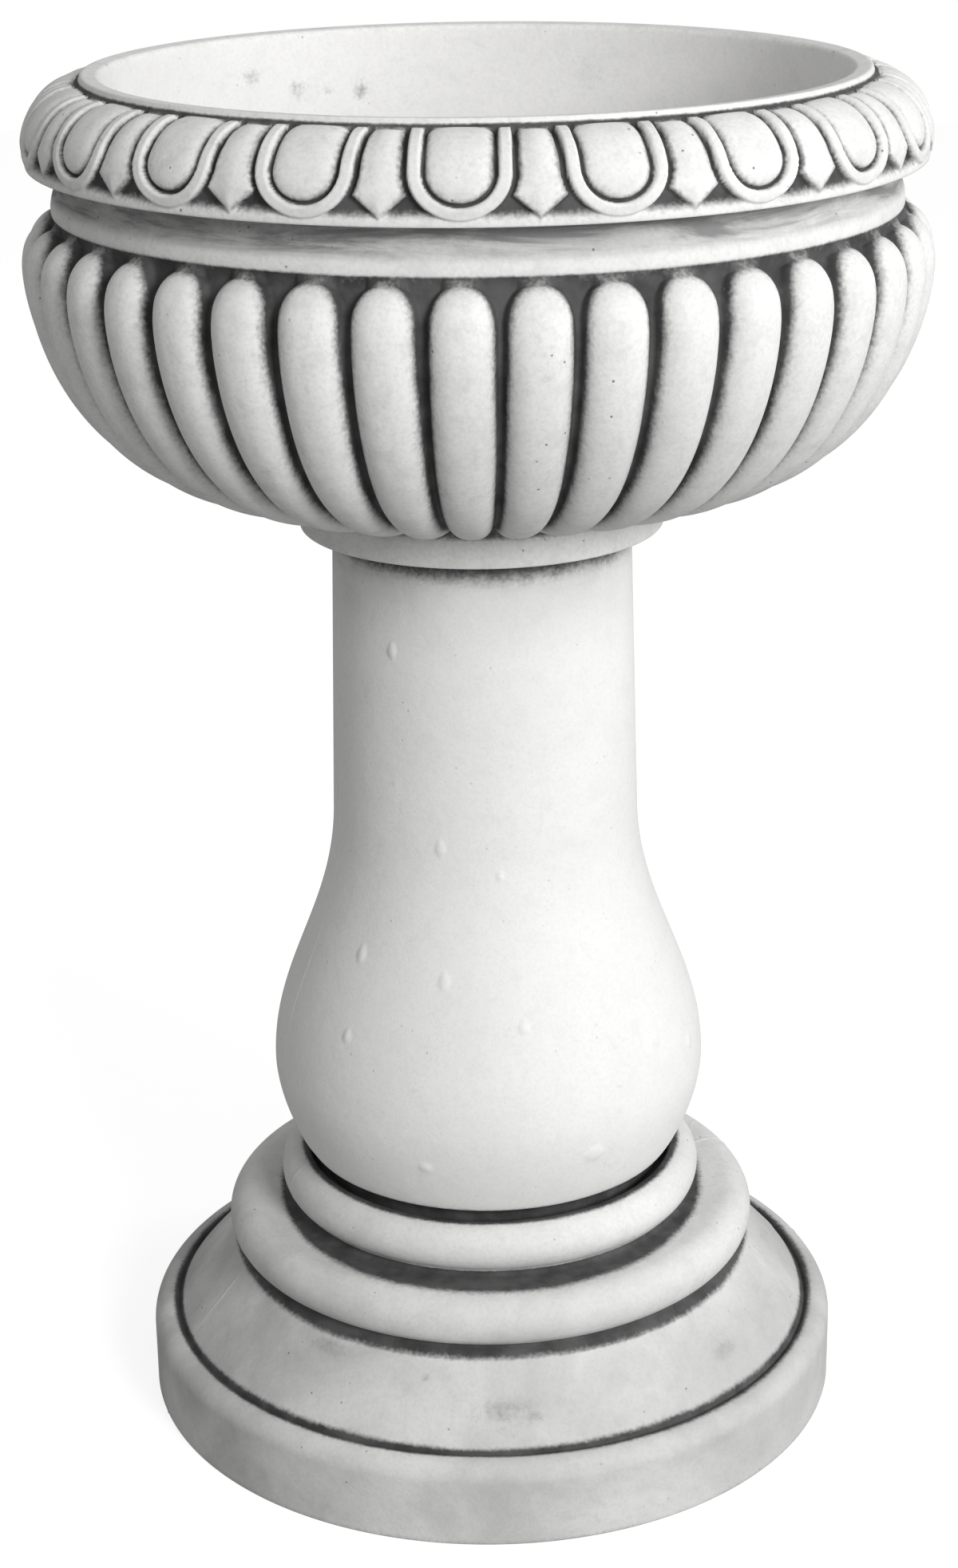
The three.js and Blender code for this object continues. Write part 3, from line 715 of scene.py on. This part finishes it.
def shaft_piece():
    bottom = height("shaft", 0)
    top = height("shaft", 1)
    foot_top = bottom + SHAFT_FOOT_HEIGHT
    edge = foot_top + BULB_EDGE_RISE
    bulb = bottom + BULB_HEIGHT
    neck = bottom + SHAFT_NECK_HEIGHT
    low = bulb - edge
    high = neck - bulb
    outline = line((CORE_RADIUS, bottom), (SHAFT_FOOT_RADIUS, bottom), 10)
    outline += line((SHAFT_FOOT_RADIUS, bottom), (SHAFT_FOOT_RADIUS, foot_top), 3)
    outline += cubic([
        (SHAFT_FOOT_RADIUS, foot_top),
        (114, foot_top + 3),
        (118, edge - 2.5),
        (BULB_EDGE_RADIUS, edge),
    ], 1.5)
    edge_at = len(outline)
    outline += cubic([
        (BULB_EDGE_RADIUS, edge),
        (BULB_EDGE_RADIUS + (BULB_RADIUS - BULB_EDGE_RADIUS) * 0.43, edge + low * 0.19),
        (BULB_RADIUS, bulb - low * 0.36),
        (BULB_RADIUS, bulb),
    ], 1.8)
    outline += cubic([
        (BULB_RADIUS, bulb),
        (BULB_RADIUS, bulb + high * 0.35),
        (SHAFT_NECK_RADIUS + 1.7, neck - high * 0.42),
        (SHAFT_NECK_RADIUS, neck),
    ], 1.8)
    outline += line((SHAFT_NECK_RADIUS, neck), (SHAFT_HEAD_RADIUS, top - 1), 1.8)
    outline += arc((SHAFT_HEAD_RADIUS - 1, top - 1), (1, 1), 0, 90, 0.6)
    head_at = len(outline)
    outline += line((SHAFT_HEAD_RADIUS - 1, top), (SOCKET_RADIUS, top), 8)
    outline += line((SOCKET_RADIUS, top), (SOCKET_RADIUS, top - SOCKET_DEPTH), 6)
    outline += line((SOCKET_RADIUS, top - SOCKET_DEPTH), (CORE_RADIUS, top - SOCKET_DEPTH), 8)
    outline += line((CORE_RADIUS, top - SOCKET_DEPTH), (CORE_RADIUS, bottom), 20)
    outline = np.array(outline, float)
    outward = normals(outline)
    angles = seam_columns(SHAFT_COLUMNS)
    depth, wash_and_shade, shade_and_haze, streak = np.zeros((4, len(outline), len(angles)))
    wash_and_shade[:edge_at] = 0.95
    for row in range(edge_at, head_at):
        radius, z = outline[row]
        uneven = 0.6 + 0.4 * np.sin(angles * 3 + z * 0.05) * np.sin(angles * 7 + 1.3)
        ridge = SEAM_HEIGHT_SHAFT * seam_ridge(angles, radius) * uneven
        depth[row] = -ridge - blister_height(angles, radius, z)
        front = 0.5 + 0.5 * np.cos(angles - 0.3)
        # Under the bowl's foot: dark patina and painted shadow, wider at the front, fading into grey
        # painted shade with streaks; a dark joint at the bulb's edge
        wash_and_shade[row] = 0.85 * smooth(5 + 14 * front, 0, top - z) + 0.3 * smooth(3, 0, z - edge)
        shade_and_haze[row] = 0.6 * smooth(70, 2, top - z)
        streak[row] = 0.5 * smooth(22, 2, top - z)
    marks = {"wash_and_shade": wash_and_shade, "shade_and_haze": shade_and_haze, "streak": streak, "mottle": 0.3}
    return turned_mesh("baluster_shaft", outline, outward, depth, angles, marks)


# ---- Base ----

BASE_RADIUS = 228.5
PLINTH_HEIGHT = 55.0
PLINTH_ROUND = 12.0
CONE_RISE = 48.0
ROLL = 32.0
LOWER_ROLL_RADIUS = 174.5
UPPER_ROLL_RADIUS = 138.5
SEAT_RADIUS = 119.0
SEAT_DEPTH = 17.0
BASE_COLUMNS = 320

# On the cone, heights counted from the ground
CONE_STAINS = [
    (4.5, 74.0, 26.0, 9.0, 0.27),
    (9.5, 71.0, 11.0, 5.0, 0.34),
    (-11.5, 88.0, 2.5, 3.0, 0.42),
    (-33.0, 92.0, 22.0, 6.0, 0.25),
    (52.0, 74.0, 18.0, 6.0, 0.25),
    (150.0, 70.0, 30.0, 8.0, 0.3),
]


def base_piece():
    cone_top = PLINTH_HEIGHT + CONE_RISE
    roll_top = cone_top + ROLL
    top = height("base", 1)
    seat = top - SEAT_DEPTH
    half = ROLL / 2
    shoulder = BASE_RADIUS - PLINTH_ROUND
    groove_outer, groove_middle, groove_inner = shoulder - 2.6, shoulder - 4.6, shoulder - 6.4
    outline = line((CORE_RADIUS, 0), (BASE_RADIUS - 1.5, 0), 14)
    outline += arc((BASE_RADIUS - 1.5, 1.5), (1.5, 1.5), -90, 0, 0.8)
    outline += line((BASE_RADIUS, 1.5), (BASE_RADIUS, PLINTH_HEIGHT - PLINTH_ROUND), 2.6)
    outline += arc((shoulder, PLINTH_HEIGHT - PLINTH_ROUND), (PLINTH_ROUND, PLINTH_ROUND), 0, 84, 1.3)
    outline += line((shoulder + 0.6, PLINTH_HEIGHT), (groove_outer, PLINTH_HEIGHT - 0.4), 0.8)
    outline += line((groove_outer, PLINTH_HEIGHT - 0.4), (groove_middle, PLINTH_HEIGHT - 2.6), 0.7)
    outline += line((groove_middle, PLINTH_HEIGHT - 2.6), (groove_inner, PLINTH_HEIGHT + 0.2), 0.7)
    cone_head = LOWER_ROLL_RADIUS - half + half * math.cos(math.radians(55))
    outline += cubic([
        (groove_inner, PLINTH_HEIGHT + 0.2),
        (shoulder - 12, PLINTH_HEIGHT + 9),
        (cone_head + 14, cone_top - 16),
        (cone_head + 2, cone_top - 1),
    ], 1.8)
    outline += [(cone_head, cone_top), (cone_head - 2, cone_top + 1.2)]
    outline += arc((LOWER_ROLL_RADIUS - half, cone_top + half), (half, half), -50, 92, 1.1)
    inner_head = UPPER_ROLL_RADIUS - half + half * math.cos(math.radians(55))
    outline += cubic([
        (LOWER_ROLL_RADIUS - half - 1, roll_top),
        (LOWER_ROLL_RADIUS - half - 8, roll_top - 0.5),
        (inner_head + 9, roll_top - 2.5),
        (inner_head + 1, roll_top - 0.5),
    ], 1.2)
    outline += [(inner_head - 1, roll_top + 1.0)]
    outline += arc((UPPER_ROLL_RADIUS - half, roll_top + half), (half, half), -50, 96, 1.1)
    outline += cubic([
        (UPPER_ROLL_RADIUS - half - 1.8, top - 0.2),
        (SEAT_RADIUS + 1.2, top - 0.6),
        (SEAT_RADIUS, top - 1.5),
        (SEAT_RADIUS, top - 4),
    ], 1.0)
    outline += line((SEAT_RADIUS, top - 4), (SEAT_RADIUS, seat), 2.5)
    outline += line((SEAT_RADIUS, seat), (CORE_RADIUS, seat), 12)
    outline += line((CORE_RADIUS, seat), (CORE_RADIUS, 0), 20)
    outline = np.array(outline, float)
    outward = normals(outline)
    angles = seam_columns(BASE_COLUMNS)
    front = np.clip(np.cos(angles), 0, 1) ** 2
    waves = 0.5 + 0.5 * np.sin(angles * 2 + 0.8) * np.sin(angles * 3 - 1.0)
    depth, wash_and_shade, shade_and_haze, streak = np.zeros((4, len(outline), len(angles)))
    for row in range(len(outline)):
        radius, z = outline[row]
        if radius > SEAT_RADIUS + 0.5 and z > 0.5:
            uneven = 0.6 + 0.4 * np.sin(angles * 5 + z * 0.08)
            depth[row] = -SEAM_HEIGHT_BASE * seam_ridge(angles, radius) * uneven
        # Wash: in the groove, at the ground, at the shaft's joint, and below and between the rolls
        from_groove = math.hypot(radius - groove_middle, z - PLINTH_HEIGHT + 1.2)
        groove = smooth(6.0 + 3.4 * waves, 0.8, from_groove)
        gap = smooth(SEAT_RADIUS + 8.5 + 2 * waves, SEAT_RADIUS + 3.5, radius) if z > top - 3 else 0.0
        deep = 1.0 if radius <= SEAT_RADIUS + 0.3 and z < top else 0.0
        wash_and_shade[row] = np.maximum(groove, 0.3 * smooth(4, 0, z)) + gap + deep
        if z <= cone_top + 2.5 and radius < LOWER_ROLL_RADIUS - 1:
            from_roll = math.hypot(radius - cone_head, max(0.0, cone_top - z))
            wash_and_shade[row] = np.maximum(wash_and_shade[row], smooth(7 + 5 * waves + 5 * front, 1.5, from_roll))
        if roll_top - 9 < z <= roll_top + 2.5 and radius < LOWER_ROLL_RADIUS + 1:
            between = smooth(12 + 4 * waves + 17 * front, 4 + 10 * front, radius - inner_head)
            wash_and_shade[row] = np.maximum(wash_and_shade[row], between)
        # Greyer over the lower steps, and painted shade on the left side
        stepped = smooth(top + 10, PLINTH_HEIGHT, z)
        shade_and_haze[row] = 0.22 + 0.55 * stepped + 0.3 * smooth(0.3, -1.2, np.sin(angles - 0.15))
        if PLINTH_HEIGHT < z < cone_top:
            stained = stains(CONE_STAINS, angles, radius, z)
            wash_and_shade[row] = np.maximum(wash_and_shade[row], stained)
            streak[row] = 0.8 * stained
    marks = {"wash_and_shade": wash_and_shade, "shade_and_haze": shade_and_haze, "streak": streak, "mottle": 0.7}
    return turned_mesh("stepped_base", outline, outward, depth, angles, marks)


# ---- Build ----

add_camera()
add_studio()
add_floor()

stone = stone_material()
for piece, body, node in (
    (bowl_piece(), "bowl", "bowl"),
    (shaft_piece(), "pedestal", "shaft"),
    (base_piece(), "pedestal", "base"),
):
    piece.data.materials.append(stone)
    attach(piece, body)
    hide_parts(node)

mortar = plain_material("mortar", (0.03, 0.03, 0.03), (0.09, 0.088, 0.085), 0.95, 260, depth=0.0008)
rubber = plain_material("pad_rubber", (0.012, 0.012, 0.013), (0.03, 0.03, 0.032), 0.75, 900)
plastic = plain_material("pipe_plastic", (0.17, 0.18, 0.19), (0.22, 0.23, 0.24), 0.45, 320, depth=0.0002)
steel = plain_material("dowel_steel", (0.36, 0.36, 0.37), (0.5, 0.5, 0.5), 0.38, 500, 1.0, 0.0002)
finishes = {"shaft_bedding_mortar": mortar, "bowl_seat_pad": rubber, "drain_sleeve": plastic}
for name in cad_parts:
    if name.startswith("shaft_dowel"):
        finishes[name] = steel
for name, material in finishes.items():
    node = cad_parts[name]
    node.data.materials.clear()
    node.data.materials.append(material)
